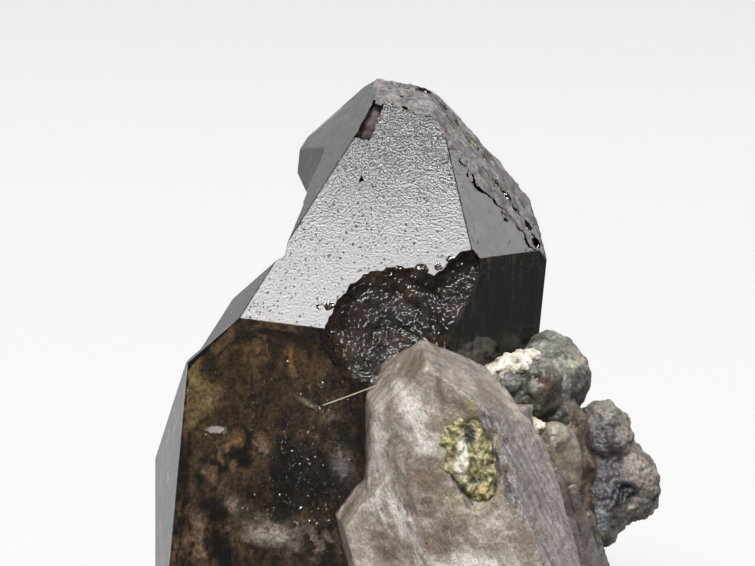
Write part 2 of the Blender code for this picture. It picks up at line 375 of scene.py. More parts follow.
class Paint(Nodes):
    """One material with a single Principled shader and the nodes that feed it."""

    def __init__(self, name, **values):
        self.material = bpy.data.materials.new(name)
        self.material.use_nodes = True
        super().__init__(self.material.node_tree)
        self.place = self.node("ShaderNodeTexCoord", "Object", {})
        self.set(**values)

    def set(self, **values):
        """Feed inputs of the shader, with underscores for the spaces in their names."""
        for name, value in values.items():
            self.feed(self.tree.nodes["Principled BSDF"].inputs[name.replace("_", " ")], value)

    def absorb(self, colour, density):
        """Fill a clear piece with a plain absorbing volume."""
        volume = self.node("ShaderNodeVolumeAbsorption", "Volume", {"Color": colour, "Density": density})
        self.feed(self.tree.nodes["Material Output"].inputs["Volume"], volume)

    def noise(self, pitch, detail=4.0, rough=0.55, warp=0.0, place=None):
        """Noise from 0 to 1 with features about pitch millimetres across."""
        inputs = {"Vector": place or self.place, "Scale": 1 / MM / pitch, "Detail": detail}
        return self.node("ShaderNodeTexNoise", "Fac", {**inputs, "Roughness": rough, "Distortion": warp})

    def cells(self, pitch, place=None):
        """Distance to scattered points about pitch millimetres apart."""
        inputs = {"Vector": place or self.place, "Scale": 1 / MM / pitch}
        return self.node("ShaderNodeTexVoronoi", "Distance", inputs)

    def rotated(self, place, angle):
        """Coordinates turned about Y."""
        inputs = {"Vector": place, "Rotation": (0.0, math.radians(angle), 0.0)}
        return self.node("ShaderNodeMapping", "Vector", inputs)

    def stretched(self, scale, angle):
        """Coordinates turned about Y and then scaled: a scale under 1 draws a pattern out."""
        inputs = {"Vector": self.rotated(self.place, angle), "Scale": scale}
        return self.node("ShaderNodeMapping", "Vector", inputs)

    def label(self, name, output="Fac"):
        """A number or colour stored on the mesh."""
        return self.node("ShaderNodeAttribute", output, {}, attribute_name=name)

    def blob(self, centre, radii, soft, warp, pitch, turn=0.0):
        """1 inside an ellipsoid turned about Y and 0 outside, with a soft and uneven edge."""
        moved = self.vector("SUBTRACT", "Vector", self.place, metres(centre))
        scale = [1.0 / (radius * MM) for radius in radii]
        scaled = self.vector("MULTIPLY", "Vector", self.rotated(moved, turn), scale)
        length = self.vector("LENGTH", "Value", scaled) + (self.noise(pitch) - 0.5) * warp
        return self.span(length, 1.0 + soft / 2, 1.0 - soft / 2)

    def blend(self, share, first, second):
        """Mix two colours."""
        inputs = {MIX_SHARE: share, MIX_FIRST: first, MIX_SECOND: second}
        return self.node("ShaderNodeMix", MIX_RESULT, inputs, data_type="RGBA")

    def shade(self, colour, value):
        """A colour made darker or lighter by a value."""
        inputs = {MIX_SHARE: 1.0, MIX_FIRST: colour, MIX_SECOND: value}
        return self.node("ShaderNodeMix", MIX_RESULT, inputs, data_type="RGBA", blend_type="MULTIPLY")

    def ramp(self, value, positions, colours):
        """A colour ramp with a colour at each position."""
        result = self.node("ShaderNodeValToRGB", "Color", {"Fac": value})
        band = result.socket.node.color_ramp
        while len(band.elements) < len(colours):
            band.elements.new(0.5)
        for element, position, colour in zip(band.elements, positions, colours):
            element.position = position
            element.color = (*colour, 1.0)
        return result

    def bump(self, height, distance):
        """The bumpy surface's normal: a height of 1 stands for distance millimetres."""
        return self.node("ShaderNodeBump", "Normal", {"Height": height, "Distance": distance * MM})


QUARTZ_IOR = 1.544

# Smoky quartz: heights are multiples of BUMP_SIZE. The etched grain grows with z: (z, strength).
SMOKE = (0.46, 0.33, 0.04)
SMOKE_DENSITY = 420.0
CLEAR = (0.98, 0.96, 0.94)
# Painted shade that darkens the pits and flecks of the etched tip face.
PIT_PAINTED_SHADE = (0.3, 0.25, 0.2)
BUMP_SIZE = 0.09
ETCH_LOW = (60, 0.35)
ETCH_TOP = (80, 1.5)
PIT_DEPTH = 1.9
WORN_HEIGHT = 2.4
STREAK_HEIGHT = 0.09
DIMPLE_HEIGHT = 3.2
DIMPLE_TURN = 35
GLASS_ROUGHNESS = 0.04
ETCHED_ROUGHNESS = 0.25
WORN_ROUGHNESS = 0.35
BROKEN_ROUGHNESS = 0.06


def smoky_paint():
    """Clear smoky quartz: silvery etched tip face, glassy prism faces, worn edges, dimpled fracture."""
    paint = Paint("smoky_quartz", IOR=QUARTZ_IOR, Transmission_Weight=1.0)
    paint.absorb(SMOKE, SMOKE_DENSITY)
    etched = paint.label("etched")
    worn = paint.label("worn")
    broken = paint.label("broken")
    plain = paint.combine("SUBTRACT", 1.0, etched + broken)

    (low, faint), (high, strong) = ETCH_LOW, ETCH_TOP
    level = paint.node("ShaderNodeSeparateXYZ", "Z", {"Vector": paint.place})
    grain = paint.noise(0.27, 1.0, 0.5) * paint.span(level, low * MM, high * MM, faint, strong)
    pits = paint.span(paint.cells(1.0), 0.19, 0.09) * paint.span(paint.noise(4.0, 3.0, 0.6), 0.42, 0.54)
    flecks = paint.span(paint.cells(0.55), 0.21, 0.10) * paint.span(paint.noise(2.5, 2.0, 0.6), 0.44, 0.58)
    holes = pits + flecks
    coarse = paint.noise(1.3, 5.0, 0.6) + paint.noise(0.45, 3.0, 0.6) * 0.4
    upright = paint.stretched((1.0, 1.0, 0.10), -AXIS_LEAN)
    streaks = paint.noise(0.9, 4.0, 0.6, place=upright) + paint.noise(0.35, 2.0, 0.6, place=upright)
    slanted = paint.stretched((0.55, 1.0, 1.0), DIMPLE_TURN)
    wide = paint.cells(0.62, slanted)
    small = paint.cells(0.34, slanted)
    dimples = wide * wide + small * small * 0.5

    height = (grain - holes * PIT_DEPTH) * etched
    height += coarse * worn * WORN_HEIGHT
    height += streaks * STREAK_HEIGHT * paint.span(plain)
    height += dimples * broken * DIMPLE_HEIGHT
    rough = etched * ETCHED_ROUGHNESS + (worn * WORN_ROUGHNESS + broken * BROKEN_ROUGHNESS)
    paint.set(Normal=paint.bump(height, BUMP_SIZE), Roughness=rough + GLASS_ROUGHNESS)
    # Painted shade: the base colour darkens in the pits and flecks of the etched face.
    paint.set(Base_Color=paint.blend(paint.span(holes * etched), CLEAR, PIT_PAINTED_SHADE))
    return paint.material


def veil_paint():
    """Cloudy inclusions, in the colours stored on the mesh."""
    paint = Paint("inclusions", Roughness=0.7, Specular_IOR_Level=0.1)
    fine = paint.span(paint.noise(0.45, 4.0, 0.65), 0.25, 0.75, 0.35, 1.7)
    paint.set(Base_Color=paint.shade(paint.label("tone", "Color"), fine))
    return paint.material


# Milky quartz: bands and clouds are (centre, radii, turn), and patterns are drawn out along MILKY_GRAIN.
MILKY_GRAIN = 27
MILKY_STOPS = (0.34, 0.5, 0.64)
MILKY = ((0.15, 0.11, 0.085), (0.32, 0.26, 0.205), (0.52, 0.455, 0.385))
FLANK_GRAIN = 23
FLANK_STOPS = (0.36, 0.62)
FLANK = ((0.12, 0.1, 0.095), (0.42, 0.37, 0.35))
PATCH_WHITE = (0.66, 0.61, 0.55)
STREAK_WHITE = (0.66, 0.62, 0.58)
STREAK_ZONE = ((-0.8, -20.5, 34), (4.2, 5, 8.5))
BAND_WHITE = (0.76, 0.72, 0.66)
WHITE_BANDS = (
    ((1.4, -20.6, 46.6), (1.2, 5, 4), 25),
    ((2.9, -22.3, 42.6), (2.4, 3, 0.8), -27),
    ((-2.4, -18, 43), (0.8, 3, 4), 0),
    ((0, -20.5, 33), (0.7, 3, 3.2), 27),
    ((2.2, -22, 31), (0.5, 3, 2.4), 27),
    ((10, -24.5, 27.5), (4.5, 4, 2.2), -10),
)
CLOUD_BROWN = (0.16, 0.1, 0.065)
BROWN_CLOUDS = (
    ((-1.8, -20.5, 29.6), (1.8, 3.5, 2.6), 30),
    ((4.4, -23.5, 30.8), (2.8, 3.5, 1.9), -20),
    ((4.7, -18.5, 50.4), (0.5, 6, 2.8), 4),
    ((1.9, -17.5, 51), (2.2, 6, 1.8), 30),
    ((3.6, -23.2, 38.4), (2.8, 3, 2.4), 30),
    ((11.4, -19.5, 47.4), (1.3, 6, 2.6), 35),
)
RUST = (0.34, 0.28, 0.13)
RUST_ZONE = ((8.6, -23, 40.6), (4.2, 3.5, 7.2))
DARK_BAND = ((12.7, -23.5, 40.6), (1.2, 3.5, 8.6))
DARK_BAND_TURN = 18
BAND_DARK = (0.085, 0.075, 0.08)
BAND_GLINT = (0.62, 0.62, 0.68)
GLINT_SPECK_WHITE = (0.85, 0.83, 0.78)


def milky_paint():
    """Milky side crystal: cloudy taupe and white, brown smoke in places, with a wet gloss."""
    paint = Paint("milky_quartz", IOR=QUARTZ_IOR, Subsurface_Weight=0.35, Subsurface_Scale=1.5 * MM)
    paint.set(Subsurface_Radius=(1.0, 0.8, 0.65))
    streaked = paint.stretched((1.0, 1.0, 0.22), MILKY_GRAIN)
    fibres = paint.noise(1.1, 5.0, 0.65, 0.3, streaked)

    colour = paint.ramp(paint.noise(6.0, 6.0, 0.6, 0.8), MILKY_STOPS, MILKY)
    patches = paint.span(paint.noise(2.4, 5.0, 0.65, 0.5, streaked), 0.54, 0.68)
    colour = paint.blend(patches * 0.6, colour, PATCH_WHITE)
    zone = paint.blob(*STREAK_ZONE, 0.9, 0.8, 3.0, MILKY_GRAIN)
    colour = paint.blend(zone * paint.span(fibres, 0.48, 0.66), colour, STREAK_WHITE)
    for centre, radii, turn in WHITE_BANDS:
        share = paint.blob(centre, radii, 1.2, 1.7, 1.8, turn) * paint.span(fibres, 0.36, 0.56, 0.35, 0.95)
        colour = paint.blend(share, colour, BAND_WHITE)
    for centre, radii, turn in BROWN_CLOUDS:
        colour = paint.blend(paint.blob(centre, radii, 1.0, 0.8, 2.5, turn) * 0.75, colour, CLOUD_BROWN)

    flank = paint.label("flank")
    lines = paint.noise(0.7, 5.0, 0.7, place=paint.stretched((1.0, 1.0, 0.06), FLANK_GRAIN))
    colour = paint.blend(flank * 0.85, colour, paint.ramp(lines, FLANK_STOPS, FLANK))
    rust = paint.blob(*RUST_ZONE, 0.6, 1.4, 1.8, 8) * paint.span(paint.noise(1.4, 5.0, 0.65), 0.42, 0.62)
    colour = paint.blend(rust * 0.7, colour, RUST)
    band = paint.blob(*DARK_BAND, 0.9, 0.9, 1.4, DARK_BAND_TURN)
    along = paint.stretched((1.0, 1.0, 0.3), DARK_BAND_TURN)
    shade = band * paint.span(paint.noise(0.9, 5.0, 0.7, place=along), 0.56, 0.42)
    colour = paint.blend(shade * 0.85, colour, BAND_DARK)
    glint = band * paint.span(paint.noise(0.5, 4.0, 0.7, place=along), 0.50, 0.64)
    colour = paint.blend(glint * 0.8, colour, BAND_GLINT)
    # Painted highlights: small white specks stand in for micro-glints on the crystal.
    colour = paint.blend(paint.span(paint.cells(1.7), 0.06, 0.03), colour, GLINT_SPECK_WHITE)
    colour = paint.shade(colour, paint.span(paint.noise(0.3, 4.0, 0.7), 0.25, 0.75, 0.32, 0.76))

    height = paint.noise(2.2, 6.0, 0.62) * 0.8 + fibres * 0.8
    height += paint.noise(0.4, 4.0, 0.7) * (band * 0.9 + 0.2)
    height += lines * flank * 0.4
    rough = paint.span(paint.noise(1.2), 0.3, 0.7, 0.24, 0.5)
    paint.set(Base_Color=colour, Roughness=rough, Normal=paint.bump(height, 0.35))
    return paint.material


# Rough growths: each has a dark, a middle and a light colour. Their hollows are darker still.
STONE_STOPS = (0.36, 0.5, 0.64)
GREY = ((0.1, 0.1, 0.075), (0.26, 0.255, 0.21), (0.46, 0.44, 0.38))
OLIVE = ((0.16, 0.135, 0.09), (0.29, 0.255, 0.185), (0.44, 0.4, 0.3))
CREAM = ((0.55, 0.48, 0.33), (0.86, 0.81, 0.68), (0.97, 0.94, 0.86))
BROWN = ((0.03, 0.018, 0.012), (0.12, 0.08, 0.05), (0.26, 0.19, 0.13))
DRUSY = ((0.12, 0.1, 0.085), (0.27, 0.235, 0.2), (0.42, 0.38, 0.33))
MAUVE = ((0.11, 0.09, 0.08), (0.2, 0.165, 0.145), (0.32, 0.28, 0.25))
MOSS = ((0.11, 0.1, 0.035), (0.38, 0.33, 0.14), (0.66, 0.61, 0.38))
WORN = ((0.08, 0.07, 0.07), (0.2, 0.175, 0.17), (0.34, 0.305, 0.3))
BROWN_SPOTS = (0.3, 0.27, 0.22)
WORN_SPOTS = (0.06, 0.05, 0.055)
DEEP_SHADE = (0.03, 0.025, 0.022)
DEEP_RISE = -0.7


def stone_paint(name, colours, pitch, rough, height, spots=None, bright=1.0, zones=()):
    """A rough small growth in the given colours, with spots and zones of others."""
    paint = Paint(name, IOR=1.5, Subsurface_Weight=0.2, Subsurface_Scale=MM)
    colour = paint.ramp(paint.noise(pitch, 6.0, 0.62, 0.5), STONE_STOPS, colours)
    if spots:
        colour = paint.blend(paint.span(paint.noise(1.1, 5.0, 0.65, 0.4), 0.58, 0.68), colour, spots)
    deep = paint.span(paint.label("rise"), 0.0, DEEP_RISE)
    colour = paint.blend(deep * 0.8, colour, DEEP_SHADE)
    for zone, (centre, radii) in zones:
        share = paint.blob(centre, radii, 0.7, 0.7, 2.0) * paint.span(paint.noise(1.3), 0.3, 0.5)
        colour = paint.blend(share, colour, zone)
    fine = paint.span(paint.noise(0.35, 4.0, 0.7), 0.25, 0.75, 0.26 * bright, 0.62 * bright)
    gloss = paint.span(paint.noise(0.8), 0.35, 0.65, rough - 0.15, rough + 0.15)
    grain = paint.noise(0.7, 5.0, 0.65) + paint.cells(0.55) * 0.5
    paint.set(Base_Color=paint.shade(colour, fine), Roughness=gloss, Normal=paint.bump(grain, height))
    return paint.material


def mark_paint(name, colour, roughness, metallic=0.0):
    """A small mark in or on the crystal, uneven in brightness."""
    paint = Paint(name, Roughness=roughness, Metallic=metallic)
    dark = [part * 0.45 for part in colour]
    paint.set(Base_Color=paint.blend(paint.noise(0.9, 4.0, 0.6), dark, colour))
    return paint.material


# Main crystal

# What is missing from the left flank: each wedge lies inside its first faces and outside the others.
WEDGES = (
    ((), (NECK_WALL, SHOULDER_TOP, LOBE_UNDERSIDE)),
    ((shifted(LOBE_UNDERSIDE, WEDGE_LAP),), (shifted(NECK_WALL, WALL_SHIFT), LOBE_FRONT)),
    ((), (SHOULDER_SIDE, STEP_TOP, shifted(LOBE_UNDERSIDE, STEP_NOTCH))),
    ((shifted(STEP_TOP, STEP_LAP),), (STEP_SIDE,)),
)
MAIN_PLANES = planes(MAIN_FACES)
WEDGE_PLANES = [(planes(faces), planes(inward)) for faces, inward in WEDGES]
LOBE_PLANE = planes((LOBE_SIDE,))[0]
SHARP = math.radians(12)
EDGE_WEAR = 0.12

GROOVE_TOP = (-2.6, 10.1, 81.9)
GROOVE_END = (-4.8, 6, 76.6)
GROOVE_WIDTH = 1.9
GROOVE_DEPTH = 2.6
GROOVE_FACING = (-30, 42)
GROOVE_CUTS = 24
GROOVE_SKIN = ((0.22, 0.9, 3),)
PIT_TOP = (-4.5, 3, 72.8)
PIT_END = (-5.3, 1.4, 70.8)
PIT_RADIUS = 0.9

# The hollows of the broken corner: (centre, radii, turn), with ripples of (height, length).
FRACTURE_HOLLOWS = (
    ((-0.4, -11.6, 55.8), (9, 5.2, 9.4), (-19.1, 5.8, 0)),
    ((6.6, -9.2, 58.4), (3.4, 3.4, 7.2), (-38, 30, 0)),
)
FRACTURE_SKIN = ((0.5, 4, 3), (0.16, 1, 3))
RIPPLES = ((0.16, 2.1), (0.04, 0.75))
RIPPLE_START = 0.6

# Small round chips on the front tip face, beside the broken corner: (place, radius).
CHIP_CURVE = 3.0
CHIP_SKIN = ((0.05, 0.8, 2),)
CHIPS = (
    ((2.8, -6.5, 61.5), 1.1),
    ((1.1, -5.7, 62.4), 0.5),
    ((5, -6.2, 61.9), 0.7),
    ((0.1, -6.5, 61.2), 0.8),
    ((-1.4, -7.1, 60.5), 0.6),
    ((-2.7, -7.7, 59.6), 0.8),
    ((-4.3, -8.2, 58.8), 0.7),
    ((-5.3, -8.8, 58), 0.9),
    ((-6.9, -9.5, 57.1), 0.8),
    ((-8.8, -10.7, 55.6), 0.7),
    ((-9, -9.1, 57.4), 0.45),
    ((-10.3, -9.2, 57.3), 0.3),
    ((6.5, -5.5, 62.8), 0.4),
    ((0.8, 11.6, 81.7), 0.5),
    ((1.9, 10.6, 81.1), 0.7),
    ((-0.5, 12, 82), 0.4),
)

# Rough hollows along the worn right edge of the tip and in the lobe: (place, radii).
WORN_HOLLOWS = (
    ((10.2, 13.5, 75.2), (0.9, 0.8, 1.1)),
    ((9.5, 12.5, 75.9), (0.6, 0.7, 0.6)),
    ((14.2, 9.6, 69), (0.9, 0.9, 1.2)),
    ((13, 9.8, 70.6), (0.6, 0.7, 0.8)),
    ((15.6, 8.6, 67.2), (0.6, 0.7, 1)),
    ((17.8, 6.6, 62.6), (0.6, 0.9, 1.6)),
    ((6.2, 13.5, 80), (0.8, 0.7, 0.5)),
    ((8, 13.2, 78.2), (0.5, 0.7, 0.6)),
    ((11.6, 13, 73.4), (0.5, 0.7, 0.7)),
    ((3.4, 13.2, 82.2), (0.9, 0.8, 0.5)),
    ((-12.6, 13.2, 74), (0.5, 0.6, 0.4)),
    ((17, 8.2, 64.8), (0.5, 0.7, 0.9)),
)
HOLLOW_TURN = (0, 30, 20)
HOLLOW_SKIN = ((0.3, 0.7, 3),)

# How faces are finished: (etched, worn). All other faces are plain.
FINISHES = {
    TIP_FRONT: (1.0, 0.0),
    TIP_RIGHT: (0.22, 0.0),
    TIP_LEFT: (0.22, 0.0),
    TIP_WORN: (0.0, 1.0),
    WORN_SHOULDER: (0.0, 0.7),
    TOP_FRONT: (0.0, 1.0),
    TOP_RIGHT: (0.0, 1.0),
    WORN_RIM: (0.0, 0.5),
    LEFT: (0.15, 0.0),
}
NEARLY_PARALLEL = 0.9995
PARALLEL = 0.99999
CURVED_ANGLE = math.radians(35)
SMALL_FACE = 0.2 * MM * MM

# The broken corner lies between two heights and in front of a depth.
BROKEN_ZONE = (44, 68, 2)


def stepped_crystal():
    """The main crystal with its stepped left flank and slightly worn edges."""
    body = new_object("main_crystal", main_block(MAIN_FACES))
    for faces, inward in WEDGES:
        boolean(body, main_block(faces, inward))
    block = main_block((), (LOBE_SIDE,))
    keep_above(block, LOBE_BOTTOM)
    boolean(body, block)
    mesh_data = bmesh_of(body)
    edges = [edge for edge in mesh_data.edges if edge.is_manifold and edge.calc_face_angle() > SHARP]
    bevel = {"segments": 2, "profile": 0.5, "affect": "EDGES", "clamp_overlap": True}
    bmesh.ops.bevel(mesh_data, geom=edges, offset=EDGE_WEAR * MM, **bevel)
    return write_back(body, mesh_data)


def chip_cutter(place, radius):
    """A ball that leaves a shallow round dimple."""
    deep = CHIP_CURVE - math.sqrt(CHIP_CURVE**2 - radius**2)
    centre = Vector(place) + main_normal(0, RHOMB) * (CHIP_CURVE - deep)
    return pebble(centre, (CHIP_CURVE,) * 3, (0, 0, 0), CHIP_SKIN, 4)


def groove_cutter():
    """A slot from the groove's top to its end, sunk into the front face."""
    top = metres(GROOVE_TOP)
    end = metres(GROOVE_END)
    along = (top - end).normalized()
    across = along.cross(main_normal(*GROOVE_FACING)).normalized()
    axes = Matrix((across, along.cross(across), along)).transposed()
    size = Vector((GROOVE_WIDTH * MM, 2 * GROOVE_DEPTH * MM, (top - end).length))
    mesh_data = bmesh.new()
    bmesh.ops.create_cube(mesh_data, size=1.0)
    bmesh.ops.subdivide_edges(mesh_data, edges=mesh_data.edges, cuts=GROOVE_CUTS, use_grid_fill=True)
    placed(mesh_data, size, axes, (top + end) / 2)
    roughen(mesh_data, GROOVE_SKIN)
    return mesh_data


def pit_cutter():
    """A three-sided spike that leaves a pit in the front face."""
    top = metres(PIT_TOP)
    end = metres(PIT_END)
    normal = main_normal(0, RHOMB)
    along = (end - top).normalized()
    axes = Matrix((along, normal.cross(along), normal)).transposed()
    width = 2 * PIT_RADIUS * MM
    mesh_data = bmesh.new()
    bmesh.ops.create_cone(mesh_data, cap_ends=True, segments=3, radius1=0.0, radius2=width / 2, depth=width)
    placed(mesh_data, ((end - top).length / width, 1.0, 1.0), axes, (top + end) / 2)
    return mesh_data


def rippled_hollow(centre, radii, turn):
    """A ball with rings of ripples, to be cut away where the corner broke off."""
    mesh_data = pebble(centre, radii, turn, FRACTURE_SKIN, 7)
    start = metres(centre) + Vector((radii[0] * RIPPLE_START * MM, 0.0, radii[2] * MM))
    for vertex in mesh_data.verts:
        away = (vertex.co - start).length / MM
        away += 0.7 * noise.noise(vertex.co / (3.5 * MM))
        outward = (vertex.co - metres(centre)).normalized()
        rise = sum(height * math.sin(away / length * math.tau) for height, length in RIPPLES)
        vertex.co += outward * rise * MM
    return mesh_data


def mark_faces(body):
    """Store how etched, worn and broken each face is, and shade only the small curved faces smooth."""
    kinds = [(main_normal(*face[:2]), finish) for face, finish in FINISHES.items()]
    low, high, back = BROKEN_ZONE
    chosen = []
    body.data.set_sharp_from_angle(angle=CURVED_ANGLE)
    for polygon in body.data.polygons:
        etched_worn = (0.0, 0.0)
        for normal, finish in kinds:
            if polygon.normal.dot(normal) > NEARLY_PARALLEL:
                etched_worn = finish
        on_plane = any(polygon.normal.dot(normal) > PARALLEL for normal, _ in MAIN_PLANES)
        curved = polygon.area < SMALL_FACE and not on_plane
        in_zone = low < polygon.center.z / MM < high and polygon.center.y / MM < back
        broken = in_zone and curved and len(polygon.vertices) == 3
        chosen.append((*etched_worn, float(broken)))
        polygon.use_smooth = curved
    for name, column in zip(("etched", "worn", "broken"), zip(*chosen)):
        body.data.attributes.new(name, "FLOAT", "FACE").data.foreach_set("value", column)


def main_crystal():
    """The clear smoky crystal."""
    body = stepped_crystal()
    boolean(body, groove_cutter())
    boolean(body, pit_cutter())
    for place, radius in CHIPS:
        boolean(body, chip_cutter(place, radius))
    for place, radii in WORN_HOLLOWS:
        boolean(body, pebble(place, radii, HOLLOW_TURN, HOLLOW_SKIN, 4))
    for centre, radii, turn in FRACTURE_HOLLOWS:
        boolean(body, rippled_hollow(centre, radii, turn), smooth=True)
    boolean(body, cube((0, 0, -BLOCK_SIZE / 2)))
    mark_faces(body)
    piece(body, smoky_paint())


def in_ellipsoid(place, centre, radii, limit):
    """Whether a point's squared distance from a centre, counted in radii, is under a limit."""
    parts = zip(place, centre, radii)
    return sum(((part - middle) / radius) ** 2 for part, middle, radius in parts) < limit


def inside_main(place, depth, hollows=FRACTURE_HOLLOWS):
    """Whether a point lies deeper in the main crystal than depth, and away from its hollows."""
    for centre, radii, turn in hollows:
        local = turned(turn).inverted() @ (place - Vector(centre))
        if in_ellipsoid(local, (0, 0, 0), radii, 1.35):
            return False
    local = place - Vector(AXIS_FOOT)
    if not all(normal.dot(local) < distance - depth for normal, distance in MAIN_PLANES):
        return False
    for faces, inward in WEDGE_PLANES:
        within = all(normal.dot(local) < distance + depth for normal, distance in faces)
        if within and all(normal.dot(local) > distance - depth for normal, distance in inward):
            return False
    return place.z < LOBE_BOTTOM + depth or LOBE_PLANE[0].dot(local) < LOBE_PLANE[1] - depth


def trim(body, depth=0.5):
    """Drop the faces of a growth that are buried in the main crystal."""
    mesh_data = bmesh_of(body)
    buried = {vertex for vertex in mesh_data.verts if inside_main(vertex.co / MM, depth)}
    gone = [face for face in mesh_data.faces if all(vertex in buried for vertex in face.verts)]
    return drop(body, mesh_data, gone, "FACES")


# Marks inside the main crystal

# Clouds behind the front prism face: (x, z, width, height, turn, colour, strength, how mottled).
CLOUDS = (
    (-18, 49.5, 10, 7, 0, (0.19, 0.125, 0.075), 0.95, 0.7),
    (-25.8, 46, 3.2, 6, 0, (0.28, 0.21, 0.1), 0.95, 0.4),
    (-12, 44.5, 5.5, 3.5, 0, (0.11, 0.08, 0.06), 0.8, 0.8),
    (-24, 49.8, 1.2, 2.6, 10, (0.01, 0.007, 0.005), 0.9, 0.2),
    (-13.7, 50.7, 0.35, 1.9, 0, (0.42, 0.21, 0.09), 0.8, 0.3),
    (-14.9, 50.2, 0.4, 1.2, -20, (0.3, 0.17, 0.08), 0.6, 0.5),
    (-19.5, 51.8, 2.6, 0.5, 0, (0.24, 0.13, 0.07), 0.6, 0.5),
    (-21, 38.2, 4.6, 3.2, 25, (0.36, 0.24, 0.16), 0.9, 1),
    (-20.4, 40.3, 0.7, 1.1, 0, (0.45, 0.27, 0.11), 0.8, 0.4),
    (-17.3, 39, 1.4, 2, 20, (0.3, 0.2, 0.16), 0.8, 0.9),
    (-24, 35, 0.8, 3.4, 48, (0.34, 0.23, 0.17), 0.7, 0.7),
    (-25, 27, 5.5, 7, 20, (0.26, 0.175, 0.13), 0.85, 1),
    (-24.6, 31.6, 2.2, 1.7, 0, (0.006, 0.005, 0.005), 0.95, 0.1),
    (-12.5, 35.5, 5, 5, 10, (0.012, 0.012, 0.014), 0.9, 0.3),
    (-17.8, 29, 1.6, 5.6, 52, (0.58, 0.51, 0.49), 0.75, 0.8),
    (-16.5, 27.6, 3.4, 1.5, 0, (0.8, 0.75, 0.75), 0.8, 0.7),
    (-12, 27, 5, 3, 0, (0.4, 0.36, 0.37), 0.7, 0.9),
    (-7.2, 37.5, 1.5, 3.6, 20, (0.34, 0.33, 0.38), 0.7, 0.6),
    (-9.6, 43.2, 2, 1.2, 20, (0.34, 0.3, 0.26), 0.6, 0.9),
    (-11.5, 45, 0.3, 1.8, 60, (0.55, 0.48, 0.42), 0.8, 0.3),
    (-22, 14, 6, 9, 25, (0.28, 0.18, 0.13), 0.8, 1),
    (-12, 10, 5, 8, 0, (0.16, 0.12, 0.1), 0.8, 0.9),
)
FRONT_POINT = (-17.7, -10.35, 45.4)

# Groups of small flakes behind the front prism face: (x, z, width, height, count).
WHITE_CHIP = (-23.4, 41.4, 1, 0.34, 700)
WHITE_CHIP_DEPTH = 0.25
WHITE_CHIP_FLAKE = 0.09
SPARKS = (
    (-11.5, 39, 5.5, 7.5, 900),
    (-12.5, 29.5, 6, 5, 900),
    (-9.5, 45.5, 4, 3, 260),
    (-18.5, 43, 8, 9, 320),
)
SPARK_DEPTH = 0.3
SPARK_FLAKE = 0.075
PLACE_SEED = 7
WHITE_CHIP_SEED = 1
SPARK_SEED = 11

VEIL_WAVE = 0.35
VEIL_GAP = 0.15
VEIL_FOOT = 0.6
BROKEN_DEPTH = 0.9
BROKEN_SKIN = ((0.5, 4, 3), (0.2, 1.2, 3))


def flakes(name, places, size, spread, material, seed):
    """Small flat flakes at the given places, facing roughly to the front."""
    chance = random.Random(seed)
    mesh_data = bmesh.new()
    for place in places:
        normal = Vector((chance.gauss(0, spread), -1.0, chance.gauss(0, spread))).normalized()
        side = normal.cross(Vector((chance.gauss(0, 1), 0.1, chance.gauss(0, 1)))).normalized()
        other = normal.cross(side)
        long = size * chance.uniform(0.5, 1.5)
        wide = size * chance.uniform(0.3, 0.8)
        corners = [place + side * long, place + other * wide, place - side * long, place - other * wide]
        mesh_data.faces.new([mesh_data.verts.new(corner * MM) for corner in corners])
    piece(new_object(name, mesh_data), material)


def behind_front(x, z, depth):
    """A point behind the front prism face."""
    normal = main_normal(0, 0)
    gap = normal.dot(Vector(FRONT_POINT) - Vector((x, 0.0, z))) / normal.y
    return Vector((x, gap, z)) - normal * depth


def scattered(chance, x, z, width, height, count, depth):
    """Random places behind the front prism face, densest in the middle of their group."""
    places = []
    for _ in range(count):
        across = x + chance.gauss(0, 0.5) * width
        up = z + chance.gauss(0, 0.5) * height
        places.append(behind_front(across, up, depth))
    return places


def mottle(place, drawn_out):
    """Uneven cloud pattern, about 0 to 1; drawn_out stretches it upright."""
    at = Vector((place.x, place.y, place.z / drawn_out))
    return clamp(0.5 + 0.55 * swell(at, 2.6, 2) + 0.40 * swell(at, 0.9, 3))


def cloudy(dark, light, drawn_out, gain=1.0, cut=0.0, lean=0.0):
    """A function from a place to a colour: a higher cut leaves less of the clouds light."""

    def tone(place):
        pattern = mottle(place + Vector((place.z * lean, 0, 0)), drawn_out)
        return Vector(dark).lerp(Vector(light), max(0.0, pattern * gain - cut) ** 2)

    return tone


BACK_TONE = cloudy((0.022, 0.015, 0.011), (0.26, 0.17, 0.12), 2.5, 1.5, 0.5)
STREAKED_TONE = cloudy((0.006, 0.005, 0.005), (0.075, 0.058, 0.045), 9.0, 1.6, 0.6, 0.1)
DARK_TONE = cloudy((0.008, 0.006, 0.006), (0.07, 0.055, 0.052), 1.0, 1.5, 0.3)
BROKEN_TONE = cloudy((0.007, 0.005, 0.004), (0.085, 0.05, 0.036), 1.2)
FRONT_DARK = (0.008, 0.006, 0.005)
FRONT_LIGHT = (0.16, 0.105, 0.066)


def front_tone(place):
    """Colour of the clouds behind the front prism face."""
    pattern = mottle(place, 1.5)
    colour = Vector(FRONT_DARK).lerp(Vector(FRONT_LIGHT), pattern * pattern)
    for x, z, width, height, turn, tint, strength, mottled in CLOUDS:
        angle = math.radians(turn)
        right, up = place.x - x, place.z - z
        along = (right * math.cos(angle) + up * math.sin(angle)) / width
        rise = (up * math.cos(angle) - right * math.sin(angle)) / height
        away = math.hypot(along, rise) + 0.5 * (pattern - 0.5)
        share = strength * clamp(1.45 - away * 1.1)
        share *= 1.0 - mottled + mottled * clamp(pattern * 2.4 - 0.75)
        colour = colour.lerp(Vector(tint), share)
    return colour


